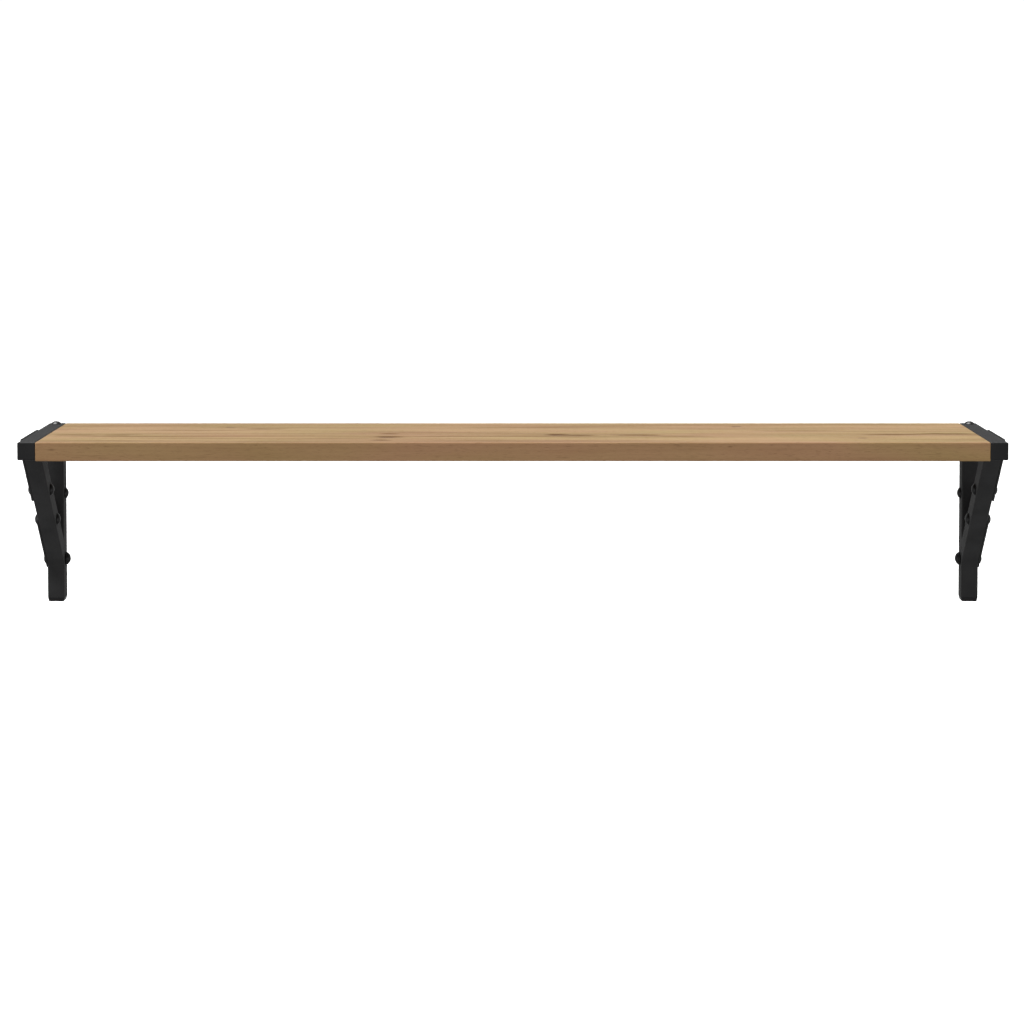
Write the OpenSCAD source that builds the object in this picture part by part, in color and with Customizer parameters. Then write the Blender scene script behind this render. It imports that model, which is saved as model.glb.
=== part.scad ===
// Wall shelf: a solid board held between two braced brackets of square steel tube.
// X runs along the shelf, +Y points to the wall and +Z is up. The wall is the plane y = 0.
// The origin is the centre of the four wall keyholes, on the wall plane.

/* [Shelf] */
// Length over the outer faces of the two arms
shelf_length = 1100; // [600:10:1400]
// Depth from the wall to the front of the arms
shelf_depth = 200; // [190:5:260]
// Thickness of the board
board_t = 21; // [20:1:24]
// Width of the small bevel along the board's long edges
board_bevel = 0.6; // [0.2:0.1:1.5]

/* [Tube] */
// Outer width of the square tube
tube_w = 20; // [18:1:22]
// Wall thickness of the tube
tube_wall = 1.5; // [1:0.25:2]
// Outer corner radius of the tube
tube_r = 1.6; // [1:0.1:2]

/* [Bracket] */
// Height of the bracket, from the arm's top to the leg's foot
bracket_h = 210; // [205:5:260]
// Distance from the corner of the centre lines to each end of the brace's centre line
brace_reach = 150; // [140:2:156]
// Thickness of the gusset plates
gusset_t = 2; // [1.5:0.5:3]
// Where the gussets' far edges lie, from the corner
gusset_far = 160; // [155:1:165]
// Where the gussets' near edges lie, from the corner
gusset_near = 60; // [56:1:64]
// Distance of the outer bolts in arm and leg from the corner
joint_far = 150; // [145:1:152]
// Distance of the inner bolts in arm and leg from the corner
joint_near = 72; // [70:1:76]
// Distance of the two brace bolts from the brace's middle, along the brace
brace_bolt = 28.3; // [26:0.1:30]
// How far a gusset runs past its brace bolt
gusset_margin = 10; // [9:0.5:12]

/* [Fasteners] */
// Radius of the bolt shanks
shank_r = 3; // [2.5:0.5:3]
// Radius of the domed heads of bolts and nuts
dome_r = 7; // [6:0.5:7.5]
// Height of the domed heads
dome_h = 4; // [3:0.5:4.5]
// Width across the flats of the hexagon sockets
socket_af = 4; // [3:0.5:5]
// Outer radius of the sleeve nuts' barrels
sleeve_r = 4; // [4:0.25:4.5]
// Length of the sleeve nuts' barrels
sleeve_l = 12; // [10:1:13]
// Radius of the washer under the lower joint's nut
washer_r = 7.5; // [7:0.5:8.5]
// Thickness of that washer
washer_t = 2; // [1:0.5:2.5]
// Radius of the head of the bolt on top of the arm
top_head_r = 6.3; // [6:0.1:7]
// Height of the head of the bolt on top of the arm
top_head_h = 3.8; // [3:0.1:4]
// Outer radius of the threaded inserts in the board's ends
insert_r = 5; // [4.5:0.5:5.5]
// Length of the threaded inserts
insert_l = 15; // [12:1:20]
// Height of the threaded block in the leg's top end
block_h = 14; // [10:1:16]

/* [Plugs] */
// Thickness of the flange of the arm's front plug
arm_flange = 3; // [2:0.5:4]
// Thickness of the flange of the leg's foot plug
foot_flange = 5; // [3:0.5:6]
// Length of the plugs' shanks inside the tube
plug_l = 9; // [6:1:10]

/* [Wall fixing] */
// Distance of the upper keyholes' round entries below the arm's top
keyhole_top = 60; // [56:1:62]
// Distance between the upper and the lower keyholes
keyhole_gap = 130; // [126:1:130]
// Radius of the round entry of a keyhole
keyhole_r = 5; // [4.5:0.5:5]
// Width of the slot above the entry
slot_w = 5; // [4:0.5:5]
// How far the slot's upper end lies above the entry's centre
slot_rise = 10; // [8:1:10]

/* [Hidden] */
$fn = 64;
eps = 0.01;
big = 400;                                   // larger than any cut needs
clearance = 0.3;                             // between a bolt or nut and its hole
thread_gap = 0.05;                           // between a shank and its thread
plug_gap = 0.1;                              // between a plug's shank and the tube
rib_w = 1.2;                                 // width of a plug's thin-walled shank
sink = 8;                                    // depth of a hexagon socket cutter above its floor
floor_t = 1.6;                               // metal left under a socket
half_w = tube_w / 2;
bore_w = tube_w - 2 * tube_wall;             // inside of the tube
top_z = keyhole_top + keyhole_gap / 2;       // arm top and board top
foot_z = top_z - bracket_h;
outer_x = shelf_length / 2;                  // outer face of a bracket's tubes
inner_x = outer_x - tube_w;                  // inner face, where the board's end lies
mid_x = outer_x - half_w;
corner_y = -half_w;                          // where the centre lines of arm and leg cross
corner_z = top_z - half_w;
half_diag = half_w * sqrt(2);                // half the tube's width, measured at 45 degrees
mid_reach = brace_reach / 2;
bolt_step = brace_bolt / sqrt(2);            // brace bolt offset, along each axis
margin_step = gusset_margin / sqrt(2);
half_step = half_w / sqrt(2);
brace_l = brace_reach * sqrt(2) + 2 * tube_w; // long enough to be mitred at both ends
dowel_l = outer_x + gusset_t - inner_x;      // through a gusset and a tube

SIDES = ["left", "right"];

// A point of the bracket's side view: how far in front of the corner, and how far below it.
function at(forward, below) = [corner_y - forward, corner_z - below];

// The bolts of one bracket, as [forward, below].
ARM_BOLTS = [[joint_far, 0], [joint_near, 0]];
FRAME_BOLTS = [
    [mid_reach + bolt_step, mid_reach - bolt_step],
    [mid_reach - bolt_step, mid_reach + bolt_step],
    [0, joint_near]
];
JOINT_BOLT = [0, joint_far];
BRACE_BOLTS = [FRAME_BOLTS[0], FRAME_BOLTS[1]];
LEG_BOLTS = [FRAME_BOLTS[2], JOINT_BOLT];

// Outline of the upper gusset; the lower one swaps forward and below.
GUSSET = [
    [gusset_far, -half_w],
    [gusset_near, -half_w],
    [gusset_near, half_w],
    [mid_reach + bolt_step - margin_step - half_step, mid_reach - bolt_step + margin_step - half_step],
    [mid_reach + bolt_step - margin_step + half_step, mid_reach - bolt_step + margin_step + half_step],
    [gusset_far, brace_reach + half_diag - gusset_far]
];

// Everything is drawn for the right-hand bracket and mirrored for the left one.
module on_side(side) {
    if (side == "right") children();
    else mirror([1, 0, 0]) children();
}

module round_square(w, r) {
    square([w, w - 2 * r], center = true);
    square([w - 2 * r, w], center = true);
    for (x = [-1, 1], y = [-1, 1])
        translate([x * (w / 2 - r), y * (w / 2 - r)]) circle(r);
}

module tube(length) {
    linear_extrude(length)
        difference() {
            round_square(tube_w, tube_r);
            square(bore_w, center = true);
        }
}

// A cylinder along X through the bracket at a bolt's place, from x to x + length.
module cross_rod(bolt, x, length, r) {
    p = at(bolt[0], bolt[1]);
    translate([x, p[0], p[1]]) rotate([0, 90, 0]) cylinder(h = length, r = r);
}

// The hole for a bolt in the outer wall, and the wider one for its sleeve nut in the inner wall.
module nut_holes(bolt) {
    cross_rod(bolt, mid_x, tube_w, shank_r + clearance);
    cross_rod(bolt, mid_x - tube_w, tube_w, sleeve_r + clearance);
}

// A cap of a sphere that stands on z = 0.
module dome(r, h) {
    ball_r = (r * r + h * h) / (2 * h);
    intersection() {
        translate([0, 0, h - ball_r]) sphere(ball_r);
        cylinder(h = h + 1, r = r + 1);
    }
}

module hex_socket(floor_z) {
    translate([0, 0, floor_z]) cylinder(h = sink, r = socket_af / sqrt(3), $fn = 6);
}

// A domed bolt along -Z with its head on z = 0.
module bolt(length, r, h) {
    difference() {
        union() {
            dome(r, h);
            translate([0, 0, -length]) cylinder(h = length + eps, r = shank_r);
        }
        hex_socket(floor_t);
    }
}

// Turns a bolt drawn along -Z so that its head is outside the bracket, at x.
module from_outside(place, x) {
    p = at(place[0], place[1]);
    translate([x, p[0], p[1]]) rotate([0, 90, 0]) children();
}

// Turns a nut drawn along -Z so that its head is inside the bracket, at x.
module from_inside(place, x) {
    p = at(place[0], place[1]);
    translate([x, p[0], p[1]]) rotate([0, -90, 0]) children();
}

// A sleeve nut: a domed head on z = 0 and a threaded barrel below it.
module sleeve_nut(length) {
    difference() {
        union() {
            dome(dome_r, dome_h);
            translate([0, 0, -length]) cylinder(h = length + eps, r = sleeve_r);
        }
        translate([0, 0, -length - 1]) cylinder(h = length + 1, r = shank_r + thread_gap);
    }
}

module board() {
    length = 2 * inner_x;
    half_d = shelf_depth / 2;
    color("burlywood")
        difference() {
            translate([-inner_x, -half_d, top_z - board_t / 2])
                rotate([90, 0, 90])
                    linear_extrude(length)
                        polygon([
                            [-half_d + board_bevel, -board_t / 2], [half_d - board_bevel, -board_t / 2],
                            [half_d, -board_t / 2 + board_bevel], [half_d, board_t / 2 - board_bevel],
                            [half_d - board_bevel, board_t / 2], [-half_d + board_bevel, board_t / 2],
                            [-half_d, board_t / 2 - board_bevel], [-half_d, -board_t / 2 + board_bevel]
                        ]);
            for (side = SIDES, place = ARM_BOLTS)
                on_side(side) cross_rod(place, inner_x - insert_l - 4, insert_l + 5, insert_r);
        }
}

module arm(side) {
    color("dimgray")
        on_side(side)
            difference() {
                translate([mid_x, 0, corner_z]) rotate([90, 0, 0]) tube(shelf_depth - arm_flange);
                for (place = ARM_BOLTS)
                    cross_rod(place, inner_x - 1, tube_w + 2, shank_r + clearance);
                translate([mid_x, corner_y, top_z - tube_w - 1])
                    cylinder(h = tube_w + 2, r = shank_r + clearance);
            }
}

// The slot's straight sides run up from the round entry to a half circle.
module keyhole(z) {
    translate([mid_x, 1, z]) rotate([90, 0, 0]) {
        cylinder(h = tube_wall + 2, r = keyhole_r);
        translate([0, slot_rise, 0]) cylinder(h = tube_wall + 2, r = slot_w / 2);
        translate([-slot_w / 2, 0, 0]) cube([slot_w, slot_rise, tube_wall + 2]);
    }
}

module leg(side) {
    color("dimgray")
        on_side(side)
            difference() {
                translate([mid_x, corner_y, foot_z + foot_flange])
                    tube(bracket_h - tube_w - foot_flange);
                for (place = LEG_BOLTS) nut_holes(place);
                for (z = [-1, 1]) keyhole(z * keyhole_gap / 2);
            }
}

// The tube runs at 45 degrees and is mitred against the arm's underside and the leg's front.
module brace(side) {
    middle = at(mid_reach, mid_reach);
    color("dimgray")
        on_side(side)
            difference() {
                translate([mid_x, middle[0], middle[1]])
                    rotate([45, 0, 0])
                        translate([0, 0, -brace_l / 2]) tube(brace_l);
                translate([mid_x - tube_w, -big, top_z - tube_w]) cube([2 * tube_w, 2 * big, tube_w * 3]);
                translate([mid_x - tube_w, -tube_w, -big]) cube([2 * tube_w, tube_w * 3, 2 * big]);
                for (place = BRACE_BOLTS) nut_holes(place);
            }
}

module gusset(side, outline, holes) {
    color("dimgray")
        on_side(side)
            difference() {
                translate([outer_x, 0, 0])
                    rotate([90, 0, 90])
                        linear_extrude(gusset_t)
                            polygon([for (p = outline) at(p[0], p[1])]);
                for (place = holes)
                    cross_rod(place, outer_x - 1, gusset_t + 2, shank_r + clearance);
            }
}

module upper_gusset(side) {
    gusset(side, GUSSET, [ARM_BOLTS[0], ARM_BOLTS[1], BRACE_BOLTS[0]]);
}

module lower_gusset(side) {
    gusset(side, [for (p = GUSSET) [p[1], p[0]]], [LEG_BOLTS[0], LEG_BOLTS[1], BRACE_BOLTS[1]]);
}

// A plug drawn with its flange on z = 0 to flange, and a hollow square shank below it.
module plug(flange) {
    shank_w = bore_w - 2 * plug_gap;
    linear_extrude(flange) round_square(tube_w, tube_r);
    translate([0, 0, -plug_l])
        linear_extrude(plug_l + eps)
            difference() {
                square(shank_w, center = true);
                square(shank_w - 2 * rib_w, center = true);
            }
}

module arm_plug(side) {
    color("black")
        on_side(side)
            translate([mid_x, arm_flange - shelf_depth, corner_z]) rotate([90, 0, 0]) plug(arm_flange);
}

module foot_plug(side) {
    color("black")
        on_side(side)
            translate([mid_x, corner_y, foot_z + foot_flange]) rotate([180, 0, 0]) plug(foot_flange);
}

// The threaded block is welded into the leg's top end, level with it.
module leg_block(side) {
    width = bore_w - 2 * plug_gap;
    color("silver")
        on_side(side)
            translate([mid_x, corner_y, top_z - tube_w - block_h])
                difference() {
                    translate([-width / 2, -width / 2, 0]) cube([width, width, block_h]);
                    translate([0, 0, -1]) cylinder(h = block_h + 2, r = shank_r + thread_gap);
                }
}

module top_bolt(side) {
    color("black")
        on_side(side)
            translate([mid_x, corner_y, top_z]) bolt(tube_w + block_h - 2, top_head_r, top_head_h);
}

module board_bolts(side) {
    color("black")
        on_side(side)
            for (place = ARM_BOLTS)
                from_outside(place, outer_x + gusset_t) bolt(dowel_l + insert_l - 2, dome_r, dome_h);
}

module board_inserts(side) {
    color("goldenrod")
        on_side(side)
            for (place = ARM_BOLTS)
                difference() {
                    cross_rod(place, inner_x - insert_l, insert_l, insert_r - thread_gap);
                    cross_rod(place, inner_x - insert_l - 1, insert_l + 2, shank_r + thread_gap);
                }
}

module frame_bolts(side) {
    color("black")
        on_side(side)
            for (place = FRAME_BOLTS)
                from_outside(place, outer_x + gusset_t) bolt(dowel_l - 2, dome_r, dome_h);
}

module frame_nuts(side) {
    color("black")
        on_side(side)
            for (place = FRAME_BOLTS) from_inside(place, inner_x) sleeve_nut(sleeve_l);
}

module joint_bolt(side) {
    color("black")
        on_side(side) from_outside(JOINT_BOLT, outer_x + gusset_t) bolt(dowel_l - 2, dome_r, dome_h);
}

module joint_nut(side) {
    color("black")
        on_side(side) from_inside(JOINT_BOLT, inner_x - washer_t) sleeve_nut(sleeve_l + washer_t);
}

module joint_washer(side) {
    color("black")
        on_side(side)
            difference() {
                cross_rod(JOINT_BOLT, inner_x - washer_t, washer_t, washer_r);
                cross_rod(JOINT_BOLT, inner_x - washer_t - 1, washer_t + 2, sleeve_r + clearance);
            }
}

board();
arm("left");  // arm_left
arm("right");  // arm_right
leg("left");  // leg_left
leg("right");  // leg_right
brace("left");  // brace_left
brace("right");  // brace_right
upper_gusset("left");  // upper_gusset_left
upper_gusset("right");  // upper_gusset_right
lower_gusset("left");  // lower_gusset_left
lower_gusset("right");  // lower_gusset_right
arm_plug("left");  // arm_plug_left
arm_plug("right");  // arm_plug_right
foot_plug("left");  // foot_plug_left
foot_plug("right");  // foot_plug_right
leg_block("left");  // leg_block_left
leg_block("right");  // leg_block_right
top_bolt("left");  // top_bolt_left
top_bolt("right");  // top_bolt_right
board_bolts("left");  // board_bolts_left
board_bolts("right");  // board_bolts_right
board_inserts("left");  // board_inserts_left
board_inserts("right");  // board_inserts_right
frame_bolts("left");  // frame_bolts_left
frame_bolts("right");  // frame_bolts_right
frame_nuts("left");  // frame_nuts_left
frame_nuts("right");  // frame_nuts_right
joint_bolt("left");  // joint_bolt_left
joint_bolt("right");  // joint_bolt_right
joint_nut("left");  // joint_nut_left
joint_nut("right");  // joint_nut_right
joint_washer("left");  // joint_washer_left
joint_washer("right");  // joint_washer_right
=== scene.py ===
"""The looks of a wall shelf: an oiled oak board between two black, braced square-tube brackets.

X runs along the shelf, and Y from the shelf's front edge to the wall, which is the plane y = 0.
Lengths are in metres, and MM turns millimetres into metres.
"""

import math

import bmesh
import bpy
from mathutils import Matrix, Vector, noise


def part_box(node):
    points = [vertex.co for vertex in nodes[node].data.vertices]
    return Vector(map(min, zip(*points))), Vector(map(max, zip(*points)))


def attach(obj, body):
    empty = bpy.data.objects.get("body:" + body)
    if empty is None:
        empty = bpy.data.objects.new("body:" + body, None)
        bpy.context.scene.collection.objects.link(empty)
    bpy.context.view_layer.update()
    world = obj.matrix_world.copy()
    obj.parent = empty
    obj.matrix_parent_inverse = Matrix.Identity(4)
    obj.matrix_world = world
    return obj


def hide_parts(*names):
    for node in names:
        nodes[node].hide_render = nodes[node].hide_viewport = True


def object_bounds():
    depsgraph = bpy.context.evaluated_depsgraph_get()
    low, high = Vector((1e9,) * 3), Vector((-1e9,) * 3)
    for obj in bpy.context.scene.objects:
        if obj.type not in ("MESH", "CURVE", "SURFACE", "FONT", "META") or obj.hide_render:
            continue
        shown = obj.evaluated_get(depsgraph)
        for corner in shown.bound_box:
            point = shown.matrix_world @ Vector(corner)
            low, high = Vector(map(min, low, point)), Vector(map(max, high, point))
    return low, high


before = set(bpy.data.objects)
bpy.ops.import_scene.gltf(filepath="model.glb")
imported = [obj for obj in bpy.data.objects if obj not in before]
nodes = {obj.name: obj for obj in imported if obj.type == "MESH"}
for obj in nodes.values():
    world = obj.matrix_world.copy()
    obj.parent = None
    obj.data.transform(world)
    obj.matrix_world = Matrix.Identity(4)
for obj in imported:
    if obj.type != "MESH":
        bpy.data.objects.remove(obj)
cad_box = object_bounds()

MM = 0.001
SIDES = ("left", "right")


# ---------------------------------------------------------------- places taken from the frame

def box(node):
    low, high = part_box(node)
    return Vector(low), Vector(high)


def middle(node):
    low, high = box(node)
    return (low + high) / 2


BOARD_LOW, BOARD_HIGH = box("board")
ARM_LOW, ARM_HIGH = box("arm_right")
FRONT_Y = BOARD_LOW.y
TOP_Z = BOARD_HIGH.z
TUBE_W = ARM_HIGH.x - ARM_LOW.x
PLATE_X = box("upper_gusset_right")[1].x


# ---------------------------------------------------------------- mesh helpers

def add_object(name, bm, material):
    """A new object from a bmesh, smooth except at its sharp edges, with one material."""
    mesh = bpy.data.meshes.new(name)
    bmesh.ops.recalc_face_normals(bm, faces=bm.faces)
    bm.to_mesh(mesh)
    bm.free()
    mesh.materials.append(material)
    mesh.shade_smooth()
    mesh.set_sharp_from_angle(angle=math.radians(42))
    piece = bpy.data.objects.new(name, mesh)
    bpy.context.scene.collection.objects.link(piece)
    weighted = piece.modifiers.new("weighted_normals", "WEIGHTED_NORMAL")
    weighted.keep_sharp = True
    return piece


def stand_in(piece, node):
    """The piece rides with the part and is shown instead of a CAD node."""
    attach(piece, "root")
    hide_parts(node)


def bridge_rings(bm, rings):
    """Joins rings of equally many vertices with quads, and caps the first and the last ring."""
    for lower, upper in zip(rings, rings[1:]):
        count = len(lower)
        for i in range(count):
            j = (i + 1) % count
            bm.faces.new((lower[i], lower[j], upper[j], upper[i]))
    bm.faces.new(rings[0])
    bm.faces.new(list(reversed(rings[-1])))


def refined(node, material, edge, outline_corner=0.0):
    """A copy of a CAD node's shape with its sharp edges rounded, as tube, plate or turned steel has.

    outline_corner also rounds the corners of a plate's outline.
    """
    bm = bmesh.new()
    bm.from_mesh(nodes[node].data)
    bmesh.ops.remove_doubles(bm, verts=bm.verts, dist=0.001 * MM)
    flat = math.radians(0.5)
    bmesh.ops.dissolve_limit(bm, angle_limit=flat, verts=bm.verts, edges=bm.edges, delimit=set())
    if outline_corner:
        round_edges(bm, [e for e in sharp_edges(bm) if crosses_plate(e)], outline_corner, 4)
    # The coat's material reads this attribute to find the rounded edges, and paints them paler: rubbed
    # coat and a painted highlight.
    worn_and_highlit = bm.faces.layers.float.new("edge")
    for face in round_edges(bm, sharp_edges(bm), edge, 3):
        face[worn_and_highlit] = 1.0
    sort_faces(bm)
    stand_in(add_object(node + "_finish", bm, material), node)


def sharp_edges(bm):
    sharp = math.radians(35)
    return [e for e in bm.edges if len(e.link_faces) == 2 and e.calc_face_angle(0) > sharp]


def crosses_plate(e):
    """True for an edge through a plate's thickness, which lies along X, between two broad rims."""
    broad = 15 * MM * MM
    along_x = abs((e.verts[0].co - e.verts[1].co).normalized().x) > 0.99
    return along_x and all(face.calc_area() > broad for face in e.link_faces)


def round_edges(bm, edges, radius, segments):
    """Rounds the edges and returns the new faces."""
    made = bmesh.ops.bevel(
        bm, geom=edges, offset=radius, offset_type="OFFSET", segments=segments,
        profile=0.5, affect="EDGES", clamp_overlap=True,
    )
    return made["faces"]


def sort_faces(bm):
    """Sorts the faces by their vertices, since a second bevel leaves their order to chance."""
    bm.verts.index_update()
    count = len(bm.verts)

    def first_edge(face):
        corner = min(face.loops, key=lambda loop: loop.vert.index)
        return corner.vert.index * count + corner.link_loop_next.vert.index

    bm.faces.sort(key=first_edge)


# ---------------------------------------------------------------- shader helpers

class Shader:
    """A node tree, with one short call for each kind of node."""

    def __init__(self, tree):
        self.tree = tree
        tree.nodes.clear()

    def node(self, kind):
        return self.tree.nodes.new("ShaderNode" + kind)

    def feed(self, socket, value):
        if isinstance(value, bpy.types.NodeSocket):
            self.tree.links.new(value, socket)
        elif isinstance(value, tuple) and socket.type == "RGBA":
            socket.default_value = (*value, 1.0)
        else:
            socket.default_value = value

    def math(self, operation, a, b=0.0):
        node = self.node("Math")
        node.operation = operation
        self.feed(node.inputs[0], a)
        self.feed(node.inputs[1], b)
        return node.outputs[0]

    def times(self, a, b):
        return self.math("MULTIPLY", a, b)

    def plus(self, a, b):
        return self.math("ADD", a, b)

    def less(self, a, b):
        return self.math("SUBTRACT", a, b)

    def larger(self, a, b):
        return self.math("MAXIMUM", a, b)

    def stretch(self, vector, scale, centre=(0.0, 0.0, 0.0)):
        """The vector from centre, scaled along each axis."""
        node = self.node("Mapping")
        node.inputs["Scale"].default_value = scale
        node.inputs["Location"].default_value = [-c * k for c, k in zip(centre, scale)]
        self.feed(node.inputs["Vector"], vector)
        return node.outputs[0]

    def length(self, vector):
        node = self.node("VectorMath")
        node.operation = "LENGTH"
        self.feed(node.inputs[0], vector)
        return node.outputs["Value"]

    def separate(self, vector):
        node = self.node("SeparateXYZ")
        self.feed(node.inputs[0], vector)
        return node.outputs

    def combine(self, x, y, z):
        node = self.node("CombineXYZ")
        for socket, value in zip(node.inputs, (x, y, z)):
            self.feed(socket, value)
        return node.outputs[0]

    def noise(self, vector, scale=1.0, detail=2.0, roughness=0.5):
        node = self.node("TexNoise")
        node.inputs["Scale"].default_value = scale
        node.inputs["Detail"].default_value = detail
        node.inputs["Roughness"].default_value = roughness
        self.feed(node.inputs["Vector"], vector)
        return node.outputs["Fac"]

    def grained(self, vector, along, across, detail=2.0, roughness=0.5):
        """Noise with so many waves to a metre along the grain, which lies along X, and across it."""
        stretched = self.stretch(vector, (along, across, across))
        return self.noise(stretched, detail=detail, roughness=roughness)

    def ramp(self, value, *stops):
        """stops are pairs of position and height, from 0 to 1."""
        node = self.node("ValToRGB")
        self.feed(node.inputs[0], value)
        elements = node.color_ramp.elements
        while len(elements) < len(stops):
            elements.new(1.0)
        for element, (position, height) in zip(elements, stops):
            element.position = position
            element.color = (height, height, height, 1.0)
        return node.outputs["Color"]

    def mix(self, factor, a, b, blend="MIX"):
        node = self.node("Mix")
        node.data_type = "RGBA"
        node.blend_type = blend
        self.feed(node.inputs[0], factor)
        self.feed(node.inputs[6], a)
        self.feed(node.inputs[7], b)
        return node.outputs[2]


class Material(Shader):
    """A material with one principled surface, painted in the object's own coordinates."""

    def __init__(self, name):
        self.material = bpy.data.materials.new(name)
        self.material.use_nodes = True
        super().__init__(self.material.node_tree)
        self.surface = self.node("BsdfPrincipled")
        output = self.node("OutputMaterial")
        self.feed(output.inputs["Surface"], self.surface.outputs["BSDF"])
        self.place = self.node("TexCoord").outputs["Object"]

    def set(self, name, value):
        self.feed(self.surface.inputs[name], value)

    def bump(self, height, distance, strength):
        node = self.node("Bump")
        node.inputs["Distance"].default_value = distance
        node.inputs["Strength"].default_value = strength
        self.feed(node.inputs["Height"], height)
        self.set("Normal", node.outputs[0])


# ---------------------------------------------------------------- materials

WOOD_LIGHT = (0.258, 0.155, 0.079)
WOOD_MID = (0.206, 0.117, 0.055)
WOOD_DARK = (0.122, 0.052, 0.018)
WOOD_CHECK = (0.050, 0.017, 0.004)

# Tints that the wood's colour is multiplied by.
UNTINTED = (1.0, 1.0, 1.0)
ROSY = (1.05, 0.985, 1.03)
OLIVE = (0.96, 1.02, 0.87)
YELLOWER = (1.05, 1.20, 1.14)

# Knots in the board's top: distance along the shelf from its middle, behind the front edge, size.
KNOTS = (
    (-0.143, 0.050, 0.017),
    (0.050, 0.076, 0.015),
    (0.125, 0.077, 0.010),
    (0.394, 0.047, 0.010),
    (-0.330, 0.152, 0.009),
    (0.262, 0.160, 0.010),
)

# Dark streaks and checks: along, behind, half length, half width, darkness.
STREAKS = (
    (-0.137, 0.056, 0.022, 0.0075, 0.80),
    (-0.147, 0.022, 0.013, 0.0060, 0.65),
    (-0.141, 0.086, 0.012, 0.0065, 0.65),
    (0.051, 0.080, 0.017, 0.0085, 0.92),
    (0.070, 0.074, 0.024, 0.0060, 0.75),
    (0.145, 0.074, 0.034, 0.0070, 0.55),
    (0.190, 0.062, 0.040, 0.0055, 0.35),
    (0.436, 0.079, 0.046, 0.0062, 0.65),
    (0.495, 0.087, 0.046, 0.0075, 0.75),
    (-0.496, 0.076, 0.032, 0.0085, 0.50),
    (-0.448, 0.076, 0.026, 0.0085, 0.38),
    (-0.290, 0.137, 0.030, 0.0065, 0.40),
    (-0.060, 0.060, 0.075, 0.0060, 0.35),
    (0.330, 0.118, 0.070, 0.0060, 0.30),
    (-0.385, 0.120, 0.080, 0.0070, 0.30),
    (0.010, 0.150, 0.090, 0.0060, 0.30),
)

# Small knots in the board's front face: along, below the top, half length, half height.
FRONT_KNOTS = ((-0.512, 0.0082, 0.0060, 0.0012), (0.241, 0.0045, 0.0040, 0.0012))


def bent(s, along, across, amount):
    """Places on the surface, moved across the grain by waves, at most amount from crest to trough."""
    x, y, z = s.separate(s.place)
    wave = s.less(s.grained(s.place, along, across), 0.5)
    return s.combine(x, s.plus(y, s.times(wave, amount)), z)


def knot_marks(s, grain, ragged):
    """For all knots: how far the rings swell around them, a soft shade, and their rims and cores."""
    swell = 0.0
    shade = 0.0
    core = 0.0
    for along, behind, size in KNOTS:
        centre = (along, FRONT_Y + behind, TOP_Z)
        shape = (1 / (size * 3.2), 1 / size, 1 / (size * 2.0))
        squared = s.math("POWER", s.length(s.stretch(s.place, shape, centre)), 2.0)
        bell = s.math("EXPONENT", s.times(squared, -0.55))
        shade = s.larger(shade, bell)
        swell = s.plus(swell, s.times(bell, size * 0.9))
        centre = (along, FRONT_Y + behind + 1.5 * MM, TOP_Z)
        shape = (1 / (size * 0.75), 1 / (size * 0.42), 1 / size)
        spot = s.plus(s.length(s.stretch(grain, shape, centre)), s.times(ragged, 0.5))
        rim = s.ramp(spot, (0.0, 0.50), (0.45, 0.62), (0.62, 0.85), (0.72, 0.35), (1.0, 0.0))
        core = s.larger(core, rim)
    return swell, shade, core


def late_wood(s, swell):
    """The dark part of the growth rings, which lie around a heart below the board."""
    heart_behind = 0.045
    heart_below = 0.125
    rings_to_a_metre = 200.0
    _, y, z = s.separate(s.place)
    slow = s.less(s.grained(s.place, 1.5, 8.0), 0.5)
    side = s.plus(s.less(y, FRONT_Y + heart_behind), s.plus(s.times(slow, 0.060), swell))
    radius = s.length(s.combine(0.0, side, s.less(z, TOP_Z - heart_below)))
    ring = s.math("FRACT", s.times(radius, rings_to_a_metre))
    return s.ramp(ring, (0.0, 0.0), (0.55, 0.25), (0.86, 1.0), (0.94, 0.8), (1.0, 0.0))


def check_marks(s, ragged):
    """Checks and streaks, pointed at both ends, that waver with the grain, and the front's knots."""
    check = 0.0
    wavering = bent(s, 26.0, 60.0, 10 * MM)
    for along, behind, half_length, half_width, dark in STREAKS:
        shape = (1 / half_length, 1 / half_width, 1 / half_width)
        away = s.length(s.stretch(wavering, shape, (along, FRONT_Y + behind, TOP_Z)))
        away = s.plus(away, s.times(ragged, 2.4))
        mark = s.ramp(away, (0.4, 1.0), (0.7, 0.7), (1.0, 0.0))
        check = s.larger(check, s.times(mark, dark))
    for along, under, half_length, half_height in FRONT_KNOTS:
        shape = (1 / half_length, 1 / (4 * MM), 1 / half_height)
        away = s.length(s.stretch(s.place, shape, (along, FRONT_Y, TOP_Z - under)))
        mark = s.ramp(away, (0.0, 1.0), (1.0, 0.0))
        check = s.larger(check, s.times(mark, 0.5))
    return check


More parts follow.
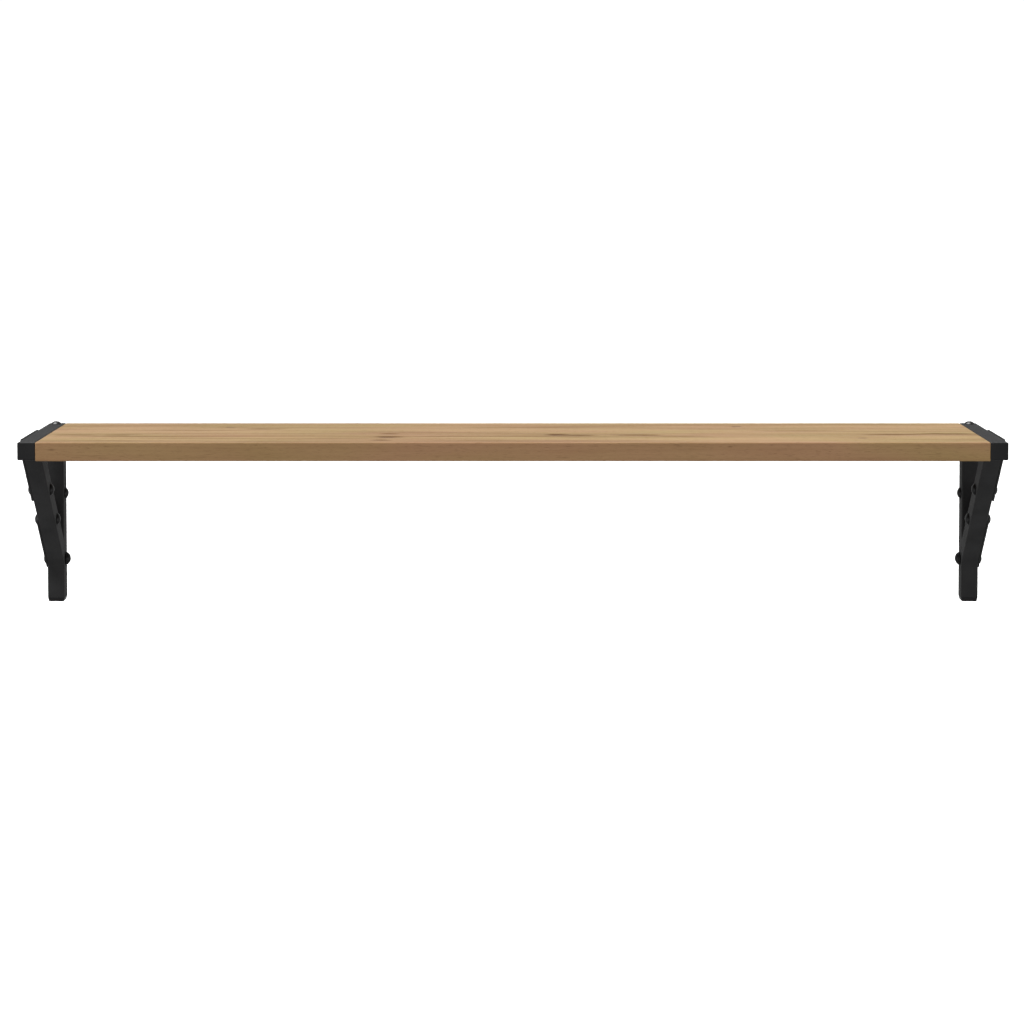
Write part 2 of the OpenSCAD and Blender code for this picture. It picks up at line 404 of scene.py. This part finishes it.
def oak():
    s = Material("oiled_oak")

    # Everything follows the bent grain, and the edges of dark places are ragged along the fibres.
    grain = bent(s, 3.2, 14.0, 24 * MM)
    ragged = s.less(s.grained(grain, 14.0, 420.0, detail=3.0, roughness=0.65), 0.5)
    swell, shade, core = knot_marks(s, grain, ragged)
    late = late_wood(s, swell)
    check = check_marks(s, ragged)

    # Wide bands, zones from the front to the back, streaks, fibres, and the pores of the early wood.
    wide = s.grained(grain, 0.8, 26.0, detail=3.0, roughness=0.6)
    wide = s.ramp(wide, (0.3, 0.0), (0.7, 1.0))
    zones = s.ramp(
        s.times(s.less(s.separate(grain)[1], FRONT_Y), 5.0),
        (0.0, 0.75), (0.20, 0.75), (0.32, 0.15), (0.45, 0.20), (0.53, 0.95), (0.66, 0.6), (1.0, 0.45),
    )
    streak = s.grained(grain, 3.0, 60.0, detail=4.0, roughness=0.6)
    streak = s.ramp(streak, (0.44, 0.0), (0.66, 1.0))
    fibre = s.grained(grain, 10.0, 950.0, detail=4.0, roughness=0.65)
    pores = s.ramp(s.grained(grain, 90.0, 2600.0, detail=1.0), (0.62, 0.0), (0.72, 1.0))
    patch = s.ramp(s.grained(s.place, 6.0, 22.0, detail=1.0), (0.30, 0.0), (0.70, 1.0))

    # The front face is calmer than the top: full contrast begins 10 mm behind it.
    y = s.separate(s.place)[1]
    behind_front = s.ramp(s.times(s.less(y, FRONT_Y), 100.0), (0.0, 0.22), (1.0, 1.0))

    colour = s.mix(s.plus(s.times(wide, 0.5), s.times(zones, 0.5)), WOOD_MID, WOOD_LIGHT)
    colour = s.mix(s.times(s.times(late, behind_front), 0.46), colour, WOOD_DARK)
    colour = s.mix(s.times(s.times(streak, behind_front), 0.85), colour, WOOD_DARK)
    colour = s.mix(s.times(shade, 0.30), colour, WOOD_DARK)
    colour = s.mix(s.times(s.less(1.0, fibre), 0.22), colour, WOOD_DARK)
    colour = s.mix(s.times(pores, 0.38), colour, WOOD_CHECK)
    colour = s.mix(1.0, colour, s.mix(patch, ROSY, OLIVE), blend="MULTIPLY")
    colour = s.mix(1.0, colour, s.mix(behind_front, UNTINTED, YELLOWER), blend="MULTIPLY")
    colour = s.mix(s.larger(check, core), colour, WOOD_CHECK)
    s.set("Base Color", colour)

    # Oiled wood is duller in pores and checks.
    dull = s.plus(s.times(pores, 0.2), s.times(check, 0.35))
    s.set("Roughness", s.plus(s.less(0.64, s.times(late, 0.08)), dull))
    s.set("Specular IOR Level", 0.20)
    relief = s.less(s.plus(s.times(fibre, 0.35), s.times(late, 0.4)), s.plus(pores, check))
    s.bump(relief, 0.09 * MM, 0.8)
    return s.material


# The paler colour of rounded coat edges: partly rubbed coat, partly a painted highlight along the edge.
RUBBED_AND_HIGHLIGHT = (0.075, 0.073, 0.071)
SCREW_BLACK = (0.0022, 0.0022, 0.0023)


def black_coat(name, base, roughness, specular, fine, coarse):
    """Black coating or plastic: faint clouds, a fine texture, and paler edges, rubbed and with a
    painted highlight.

    fine and coarse are how many bumps there are to a metre. Only meshes made by refined() have the
    edge attribute, so bolts, nuts and plugs have neither the rubs nor the painted edge highlight.
    """
    s = Material(name)
    cloud = s.noise(s.place, 38.0, detail=3.0)
    speck = s.noise(s.place, fine, detail=2.0)
    shades = [tuple(c * k for c in base) for k in (0.85, 1.15, 1.7)]
    colour = s.mix(s.ramp(cloud, (0.35, 0.0), (0.65, 1.0)), shades[0], shades[1])
    colour = s.mix(s.ramp(speck, (0.5, 0.0), (0.75, 0.5)), colour, shades[2])
    edge = s.node("Attribute")
    edge.attribute_name = "edge"
    rub_and_highlight_patches = s.ramp(s.noise(s.place, 170.0, detail=4.0, roughness=0.7), (0.42, 0.15), (0.68, 0.7))
    # Paler in patches along the rounded edges: rubbed coat, and a painted highlight for the light that
    # rounded edges catch.
    colour = s.mix(s.times(edge.outputs["Fac"], rub_and_highlight_patches), colour, RUBBED_AND_HIGHLIGHT)
    s.set("Base Color", colour)
    s.set("Roughness", s.plus(roughness - 0.05, s.times(cloud, 0.1)))
    s.set("Specular IOR Level", specular)
    grit = s.plus(s.times(speck, 0.35), s.noise(s.place, coarse, detail=1.0))
    s.bump(grit, 0.11 * MM, 1.0)
    return s.material


def bare_metal(name, base, roughness):
    """Milled or turned metal with fine tool marks."""
    s = Material(name)
    marks = s.noise(s.stretch(s.place, (1800.0, 260.0, 260.0)), detail=3.0)
    s.set("Base Color", s.mix(marks, tuple(c * 0.75 for c in base), base))
    s.set("Metallic", 1.0)
    s.set("Roughness", s.plus(roughness - 0.08, s.times(marks, 0.16)))
    s.bump(marks, 0.02 * MM, 0.5)
    return s.material


def floor_finish():
    s = Material("pale_floor")
    cloud = s.noise(s.place, 0.9, detail=2.0)
    s.set("Base Color", s.mix(cloud, (0.80, 0.80, 0.80), (0.83, 0.83, 0.825)))
    s.set("Roughness", 0.9)
    s.set("Specular IOR Level", 0.1)
    return s.material


OAK = oak()
POWDER_COAT = black_coat("powder_coat", (0.0192, 0.0192, 0.0195), 0.74, 0.06, 2600.0, 700.0)
PLASTIC = black_coat("moulded_plastic", (0.0090, 0.0090, 0.0093), 0.45, 0.12, 4200.0, 420.0)
BLACK_SCREW = black_coat("black_screw", SCREW_BLACK, 0.42, 0.07, 5200.0, 900.0)
GLOSSY_SCREW = black_coat("glossy_screw", SCREW_BLACK, 0.20, 0.38, 5200.0, 900.0)
STEEL = bare_metal("milled_steel", (0.52, 0.51, 0.49), 0.34)
BRASS = bare_metal("turned_brass", (0.72, 0.52, 0.23), 0.30)


# ---------------------------------------------------------------- the board

ARRIS = 1.2 * MM


def board_outline():
    """The board's cross-section, once round, as (y, z, outward y, outward z)."""
    arc_steps = 4
    deep_steps = 44
    high_steps = 6
    low, high = BOARD_LOW, BOARD_HIGH
    # Each corner with the angle at which its arc starts, and the steps to the next corner.
    corners = (
        (low.y + ARRIS, high.z - ARRIS, 180, deep_steps),
        (high.y - ARRIS, high.z - ARRIS, 90, high_steps),
        (high.y - ARRIS, low.z + ARRIS, 0, deep_steps),
        (low.y + ARRIS, low.z + ARRIS, -90, high_steps),
    )
    points = []
    for k, (centre_y, centre_z, start, steps) in enumerate(corners):
        for i in range(arc_steps + 1):
            angle = math.radians(start - 90 * i / arc_steps)
            out_y, out_z = math.cos(angle), math.sin(angle)
            points.append((centre_y + ARRIS * out_y, centre_z + ARRIS * out_z, out_y, out_z))
        next_y, next_z = corners[(k + 1) % 4][:2]
        for i in range(1, steps):
            share = i / steps
            y = centre_y + (next_y - centre_y) * share + ARRIS * out_y
            z = centre_z + (next_z - centre_z) * share + ARRIS * out_z
            points.append((y, z, out_y, out_z))
    return points


def board_stations():
    """Distances along the board, each with how far its section is drawn in to round the end.

    The ends are rounded a little less than the long edges, so that the section keeps its corners.
    """
    steps = 270
    arc_steps = 3
    soft = 0.8 * ARRIS
    low, high = BOARD_LOW.x + soft, BOARD_HIGH.x - soft
    stations = [(low + (high - low) * i / steps, 0.0) for i in range(steps + 1)]
    for i in range(1, arc_steps + 1):
        angle = math.radians(90 * i / arc_steps)
        reach, drawn_in = soft * math.sin(angle), soft * (1 - math.cos(angle))
        stations.insert(0, (low - reach, drawn_in))
        stations.append((high + reach, drawn_in))
    return stations


def hollow(x, y):
    """How far the top is sunk at a knot, in a hollow twice as long as it is wide, or at a check."""
    knot_depth = 0.22 * MM
    check_depth = 0.15 * MM
    deep = 0.0
    for along, behind, size in KNOTS:
        u = (x - along) / (size * 1.6)
        v = (y - FRONT_Y - behind) / (size * 0.8)
        deep += knot_depth * math.exp(-u * u - v * v)
    for along, behind, half_length, half_width, dark in STREAKS:
        u = (x - along) / half_length
        v = (y - FRONT_Y - behind) / half_width
        deep += check_depth * dark * math.exp(-2 * (u * u + v * v))
    return deep


def board():
    """Rounded edges, a surface that is very slightly uneven, and a hollow at each knot."""
    unevenness = 0.10 * MM
    # Both are how many waves there are to a metre.
    along, across = 9, 45
    section = board_outline()
    bm = bmesh.new()
    rings = []
    for x, drawn_in in board_stations():
        ring = []
        for y, z, out_y, out_z in section:
            wave = noise.noise(Vector((x * along, y * across, z * across)))
            sink = drawn_in + unevenness * (0.5 + 0.5 * wave)
            faces_up = out_z > 0.9
            if faces_up:
                sink += hollow(x, y)
            ring.append(bm.verts.new((x, y - out_y * sink, z - out_z * sink)))
        rings.append(ring)
    bridge_rings(bm, rings)
    piece = add_object("oak_board", bm, OAK)
    for side in SIDES:
        bore(piece, "board_inserts_" + side)
    stand_in(piece, "board")


def bore(piece, node):
    """Cuts the two blind holes that the threaded inserts of one end sit in."""
    low, high = box(node)
    radius = (high.z - low.z) / 2
    overrun = 4 * MM
    centre = (low + high) / 2
    along_x = Matrix.Rotation(math.radians(90), 4, "Y")
    drill = bmesh.new()
    for y in (low.y + radius, high.y - radius):
        place = Matrix.Translation((centre.x, y, centre.z)) @ along_x
        bmesh.ops.create_cone(
            drill, cap_ends=True, segments=40, radius1=radius, radius2=radius,
            depth=high.x - low.x + 2 * overrun, matrix=place,
        )
    mesh = bpy.data.meshes.new("drill")
    drill.to_mesh(mesh)
    drill.free()
    cutter = bpy.data.objects.new("drill", mesh)
    bpy.context.scene.collection.objects.link(cutter)
    cut = piece.modifiers.new("bore", "BOOLEAN")
    cut.solver = "EXACT"
    cut.object = cutter
    bpy.context.view_layer.objects.active = piece
    bpy.ops.object.modifier_move_to_index(modifier=cut.name, index=0)
    bpy.ops.object.modifier_apply(modifier=cut.name)
    bpy.data.objects.remove(cutter)


# ---------------------------------------------------------------- bolts and nuts

TURN_STEPS = 48
HEAD_R = 7.0 * MM
HEAD_H = 4.0 * MM
SHANK_R = 3.0 * MM
SOCKET_FLAT = 2.0 * MM
WASHER_EDGE = 0.35 * MM


def hexagon(angle, flat):
    """The distance from a hexagon's middle to its outline in the direction of angle.

    flat is the distance to the middle of a side.
    """
    sixth = math.radians(60)
    return flat / math.cos((angle + sixth / 2) % sixth - sixth / 2)


def turned(bm, rows, place):
    """Revolves rows of (radius, height) or (flat, height, "hex") about Z, then puts them in place."""
    rings = []
    for radius, height, *shape in rows:
        ring = []
        for i in range(TURN_STEPS):
            angle = 2 * math.pi * i / TURN_STEPS
            r = hexagon(angle, radius) if shape else radius
            point = Vector((r * math.cos(angle), r * math.sin(angle), height))
            ring.append(bm.verts.new(place @ point))
        rings.append(ring)
    bridge_rings(bm, rings)


def dome(radius, height, start):
    """Rows of a low dome, from start out to its rim, with a short upright lip."""
    lip = 0.45 * MM
    edge = 0.12 * MM
    steps = 10
    rise = height - lip
    ball = (radius * radius + rise * rise) / (2 * rise)
    rows = []
    for k in range(steps + 1):
        r = start + (radius - start) * math.sin(math.radians(90 * k / steps))
        rows.append((r, height - ball + math.sqrt(ball * ball - r * r)))
    return rows + [(radius, edge), (radius - edge, 0.0)]


def bolt(bm, place, radius, height, length):
    """A domed head with a hexagon socket, on z = 0, and a shank with thread grooves below it."""
    socket_floor = 1.6 * MM
    mouth = height - 0.55 * MM
    chamfer = 0.2 * MM
    rows = [
        (SOCKET_FLAT * 0.3, socket_floor - 0.3 * MM),
        (SOCKET_FLAT, socket_floor, "hex"),
        (SOCKET_FLAT, mouth - chamfer, "hex"),
        (SOCKET_FLAT + chamfer, mouth, "hex"),
    ]
    dome_start = 2.75 * MM
    fillet = 0.3 * MM
    rows += dome(radius, height, dome_start)
    rows += [(SHANK_R + fillet, 0.0), (SHANK_R, -fillet)]
    pitch = 1.0 * MM
    root = SHANK_R - 0.28 * MM
    plain = 6 * MM
    threads = int((length - plain) / pitch)
    start = length - threads * pitch
    for k in range(threads):
        z = -start - pitch * k
        rows += [(SHANK_R, z), (root, z - 0.35 * pitch), (root, z - 0.55 * pitch)]
    rows.append((SHANK_R - 0.5 * MM, -length))
    turned(bm, rows, place)


def sleeve_nut(bm, place, length):
    """A plain domed head on z = 0, and a barrel below it that is open at its far end."""
    barrel = 4.0 * MM
    bore_r = SHANK_R + 0.05 * MM
    chamfer = 0.3 * MM
    rows = [(0.4 * MM, HEAD_H - 0.01 * MM)]
    rows += dome(HEAD_R, HEAD_H, 0.9 * MM)
    rows += [
        (barrel, 0.0),
        (barrel, chamfer - length),
        (barrel - chamfer, -length),
        (bore_r + chamfer, -length),
        (bore_r, chamfer - length),
        (bore_r, -2 * chamfer),
    ]
    turned(bm, rows, place)


def pointing(side, x, y, z, out):
    """A place whose Z axis lies along X: away from the shelf's middle if out is 1, back if it is -1."""
    sign = 1 if side == "right" else -1
    turn = Matrix.Rotation(math.radians(90 * sign * out), 4, "Y")
    return Matrix.Translation((sign * x, y, z)) @ turn


def place_bolts(side, node, centres, seat):
    """Bolts with their heads outwards on the plane x = seat."""
    low, high = box(node + side)
    bm = bmesh.new()
    for y, z in centres:
        bolt(bm, pointing(side, seat, y, z, 1), HEAD_R, HEAD_H, high.x - low.x - HEAD_H)
    stand_in(add_object(node + "finish_" + side, bm, BLACK_SCREW), node + side)


def place_nuts(side, node, centres, seat):
    """Sleeve nuts with their heads inwards on the plane x = seat."""
    low, high = box(node + side)
    bm = bmesh.new()
    for y, z in centres:
        sleeve_nut(bm, pointing(side, seat, y, z, -1), high.x - low.x - HEAD_H)
    stand_in(add_object(node + "finish_" + side, bm, BLACK_SCREW), node + side)


def fasteners(side):
    corner_y = middle("leg_" + side).y
    corner_z = middle("arm_" + side).z

    low, high = box("board_bolts_" + side)
    board_rows = [(low.y + HEAD_R, corner_z), (high.y - HEAD_R, corner_z)]
    place_bolts(side, "board_bolts_", board_rows, PLATE_X)

    # Two bolts lie on the brace, and the third is as far down the leg as one is out along the arm.
    low, high = box("frame_bolts_" + side)
    front = low.y + HEAD_R
    bottom, top = low.z + HEAD_R, high.z - HEAD_R
    near = corner_y - board_rows[1][0]
    frame_rows = [(front, top), (front + top - bottom, bottom), (corner_y, corner_z - near)]
    place_bolts(side, "frame_bolts_", frame_rows, PLATE_X)
    place_nuts(side, "frame_nuts_", frame_rows, ARM_LOW.x)

    low, high = box("joint_washer_" + side)
    joint = [(corner_y, (low.z + high.z) / 2)]
    place_bolts(side, "joint_bolt_", joint, PLATE_X)
    place_nuts(side, "joint_nut_", joint, ARM_LOW.x - (high.x - low.x))
    refined("joint_washer_" + side, BLACK_SCREW, WASHER_EDGE)

    low, high = box("top_bolt_" + side)
    centre = (low + high) / 2
    bm = bmesh.new()
    place = Matrix.Translation((centre.x, centre.y, TOP_Z))
    bolt(bm, place, (high.x - low.x) / 2, high.z - TOP_Z, TOP_Z - low.z)
    piece = add_object("top_bolt_finish_" + side, bm, GLOSSY_SCREW)
    stand_in(piece, "top_bolt_" + side)


# ---------------------------------------------------------------- plugs

def square_ring(bm, half, corner, height, place):
    """A rounded square of vertices about Z."""
    steps = 6
    quarters = ((1, 1), (-1, 1), (-1, -1), (1, -1))
    ring = []
    for quarter, (side_x, side_y) in enumerate(quarters):
        for k in range(steps + 1):
            angle = math.radians(90 * quarter + 90 * k / steps)
            x = side_x * (half - corner) + corner * math.cos(angle)
            y = side_y * (half - corner) + corner * math.sin(angle)
            ring.append(bm.verts.new(place @ Vector((x, y, height))))
    return ring


def plug(node, flange, place):
    """flange is rows of (inset, height), from the outer face to z = 0; a hollow shank goes on below.

    Each row that bridge_rings gets is (half width, corner radius, height).
    """
    half = TUBE_W / 2
    tube_corner = 1.6 * MM
    least_corner = 0.6 * MM
    tube_wall = 1.6 * MM
    outer = half - tube_wall
    inner = outer - 1.2 * MM
    depth = 9 * MM
    tight = 0.3 * MM
    rows = [(half - inset, max(tube_corner - inset, least_corner), z) for inset, z in flange]
    rows += [
        (outer, tight, 0.0),
        (outer, tight, 0.6 * MM - depth),
        (outer - 0.5 * MM, tight, -depth),
        (inner, tight, -depth),
        (inner, tight, -0.5 * MM),
    ]
    bm = bmesh.new()
    bridge_rings(bm, [square_ring(bm, *row, place) for row in rows])
    stand_in(add_object(node + "_finish", bm, PLASTIC), node)


def flange(thick, flat, taper, soft, steps):
    """Rows of a flange: a face with a soft edge, narrower by taper than the foot that meets the tube.

    flat is how far inside the outline the flat of the face ends.
    """
    face = 4.0 * MM
    rows = [(face, thick), (flat, thick - 0.01 * MM)]
    for k in range(steps + 1):
        angle = math.radians(90 * k / steps)
        inset = taper + soft * (1 - math.sin(angle))
        rows.append((inset, thick - soft * (1 - math.cos(angle))))
    return rows + [(0.0, 0.3 * MM), (0.25 * MM, 0.0)]


def arm_plug(side):
    """A flat flange with a soft edge, in the arm's front end."""
    thick = ARM_LOW.y - FRONT_Y
    centre = middle("arm_" + side)
    forwards = Matrix.Rotation(math.radians(90), 4, "X")
    place = Matrix.Translation((centre.x, ARM_LOW.y, centre.z)) @ forwards
    rows = flange(thick, flat=1.9 * MM, taper=0.0, soft=1.2 * MM, steps=5)
    plug("arm_plug_" + side, rows, place)


def foot_plug(side):
    """A thicker flange that tapers downwards, in the leg's foot."""
    leg_bottom = box("leg_" + side)[0].z
    thick = leg_bottom - cad_box[0][2]
    centre = middle("leg_" + side)
    downwards = Matrix.Rotation(math.pi, 4, "X")
    place = Matrix.Translation((centre.x, centre.y, leg_bottom)) @ downwards
    rows = flange(thick, flat=2.2 * MM, taper=1.0 * MM, soft=0.9 * MM, steps=4)
    plug("foot_plug_" + side, rows, place)


# ---------------------------------------------------------------- the object

TUBE_EDGE = 0.22 * MM
PLATE_EDGE = 0.32 * MM
PLATE_CORNER = 1.3 * MM

board()
for side in SIDES:
    for part in ("arm_", "leg_", "brace_"):
        refined(part + side, POWDER_COAT, TUBE_EDGE)
    for part in ("upper_gusset_", "lower_gusset_"):
        refined(part + side, POWDER_COAT, PLATE_EDGE, PLATE_CORNER)
    arm_plug(side)
    foot_plug(side)
    fasteners(side)
    for node, material in (("leg_block_" + side, STEEL), ("board_inserts_" + side, BRASS)):
        for slot in nodes[node].material_slots:
            slot.material = material


# ---------------------------------------------------------------- floor, light and camera

def floor():
    """A pale floor far below the shelf, as under a shelf on a wall. It throws no light upwards."""
    drop = 1.25
    half_size = 34.0
    bm = bmesh.new()
    bmesh.ops.create_grid(bm, x_segments=24, y_segments=24, size=half_size)
    bmesh.ops.translate(bm, verts=bm.verts, vec=(0.0, 0.0, cad_box[0][2] - drop))
    piece = add_object("studio_floor", bm, floor_finish())
    piece.visible_diffuse = False
    piece.visible_glossy = False


def sky():
    """White all round at eye level, which is half way up the ramp, and dimmer above and below."""
    brightness = 1.05
    world = bpy.data.worlds.new("studio")
    bpy.context.scene.world = world
    world.use_nodes = True
    s = Shader(world.node_tree)
    height = s.separate(s.node("TexCoord").outputs["Generated"])[2]
    share = s.plus(s.times(height, 0.5), 0.5)
    background = s.node("Background")
    strength = s.ramp(
        share, (0.0, 0.46), (0.34, 0.53), (0.44, 1.0), (0.57, 1.0), (0.67, 0.60), (1.0, 0.70),
    )
    s.feed(background.inputs["Strength"], s.times(strength, brightness))
    s.feed(background.inputs["Color"], (1.0, 1.0, 1.0))
    s.feed(s.node("OutputWorld").inputs["Surface"], background.outputs[0])


def area_light(name, place, size, power):
    """A square light that faces the board's middle."""
    data = bpy.data.lights.new(name, "AREA")
    data.shape = "SQUARE"
    data.size = size
    data.energy = power
    lamp = bpy.data.objects.new(name, data)
    lamp.location = place
    aim = middle("board") - lamp.location
    lamp.rotation_euler = aim.to_track_quat("-Z", "Y").to_euler()
    bpy.context.scene.collection.objects.link(lamp)


def sun():
    """A very broad, soft light from above, a little from the left and from in front."""
    downwards = Vector((0.30, 0.09, -1.0))
    data = bpy.data.lights.new("sun", "SUN")
    data.energy = 5.3
    data.angle = math.radians(45)
    lamp = bpy.data.objects.new("sun", data)
    lamp.rotation_euler = downwards.to_track_quat("-Z", "Y").to_euler()
    bpy.context.scene.collection.objects.link(lamp)


def lights():
    """The sun, a small key light that glints on the domed heads, and a soft light on each side."""
    sun()
    area_light("key", (-2.0, -2.6, 1.2), size=0.35, power=12.0)
    for sign in (-1, 1):
        area_light("side", (sign * 3.0, -0.3, -0.7), size=1.5, power=60.0)


def camera():
    """Well in front of the shelf and a little above it. A small tilt saves a third of the shift."""
    distance = 2.831
    rise = 0.3305
    tilt = math.radians(2.726)
    data = bpy.data.cameras.new("camera")
    data.lens = 90.16
    data.sensor_width = 36.0
    data.shift_x = -0.0008
    data.shift_y = -0.24
    data.dof.use_dof = False
    view = bpy.data.objects.new("camera", data)
    view.location = (0.0, FRONT_Y - distance, TOP_Z + rise)
    view.rotation_euler = (math.radians(90) - tilt, 0.0, 0.0)
    bpy.context.scene.collection.objects.link(view)
    bpy.context.scene.camera = view


floor()
sky()
lights()
camera()
bpy.context.scene.view_settings.view_transform = "Standard"
